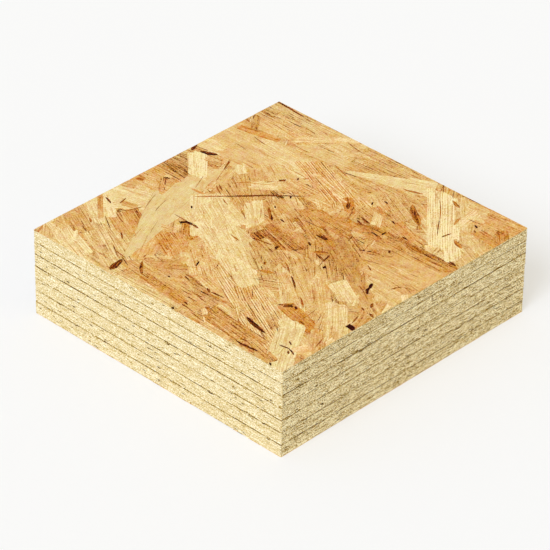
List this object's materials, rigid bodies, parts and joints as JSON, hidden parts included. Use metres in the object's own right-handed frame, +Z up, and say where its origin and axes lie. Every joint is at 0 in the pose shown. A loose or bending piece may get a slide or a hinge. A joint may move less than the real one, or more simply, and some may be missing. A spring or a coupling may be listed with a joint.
{
  "type": "stack of osb panels",
  "caption": "Flat stack of square oriented strand board panels with sawn edges, laid face to face as cut building stock.",
  "frame": {"origin": "middle of the stack's foot, where it rests on the floor", "axes": "+Z up through the stack's thickness; +X and +Y along the sides of the square panels"},
  "size_m": [0.3007, 0.3009, 0.0868],
  "materials": {
    "strand_board": "pressed pine strands, unsanded, matt"
  },
  "bodies": {
    "root": {"osb_panel_1": "strand_board", "osb_panel_2": "strand_board", "osb_panel_3": "strand_board", "osb_panel_4": "strand_board", "osb_panel_5": "strand_board", "osb_panel_6": "strand_board", "osb_panel_7": "strand_board"}
  },
  "joints": []
}
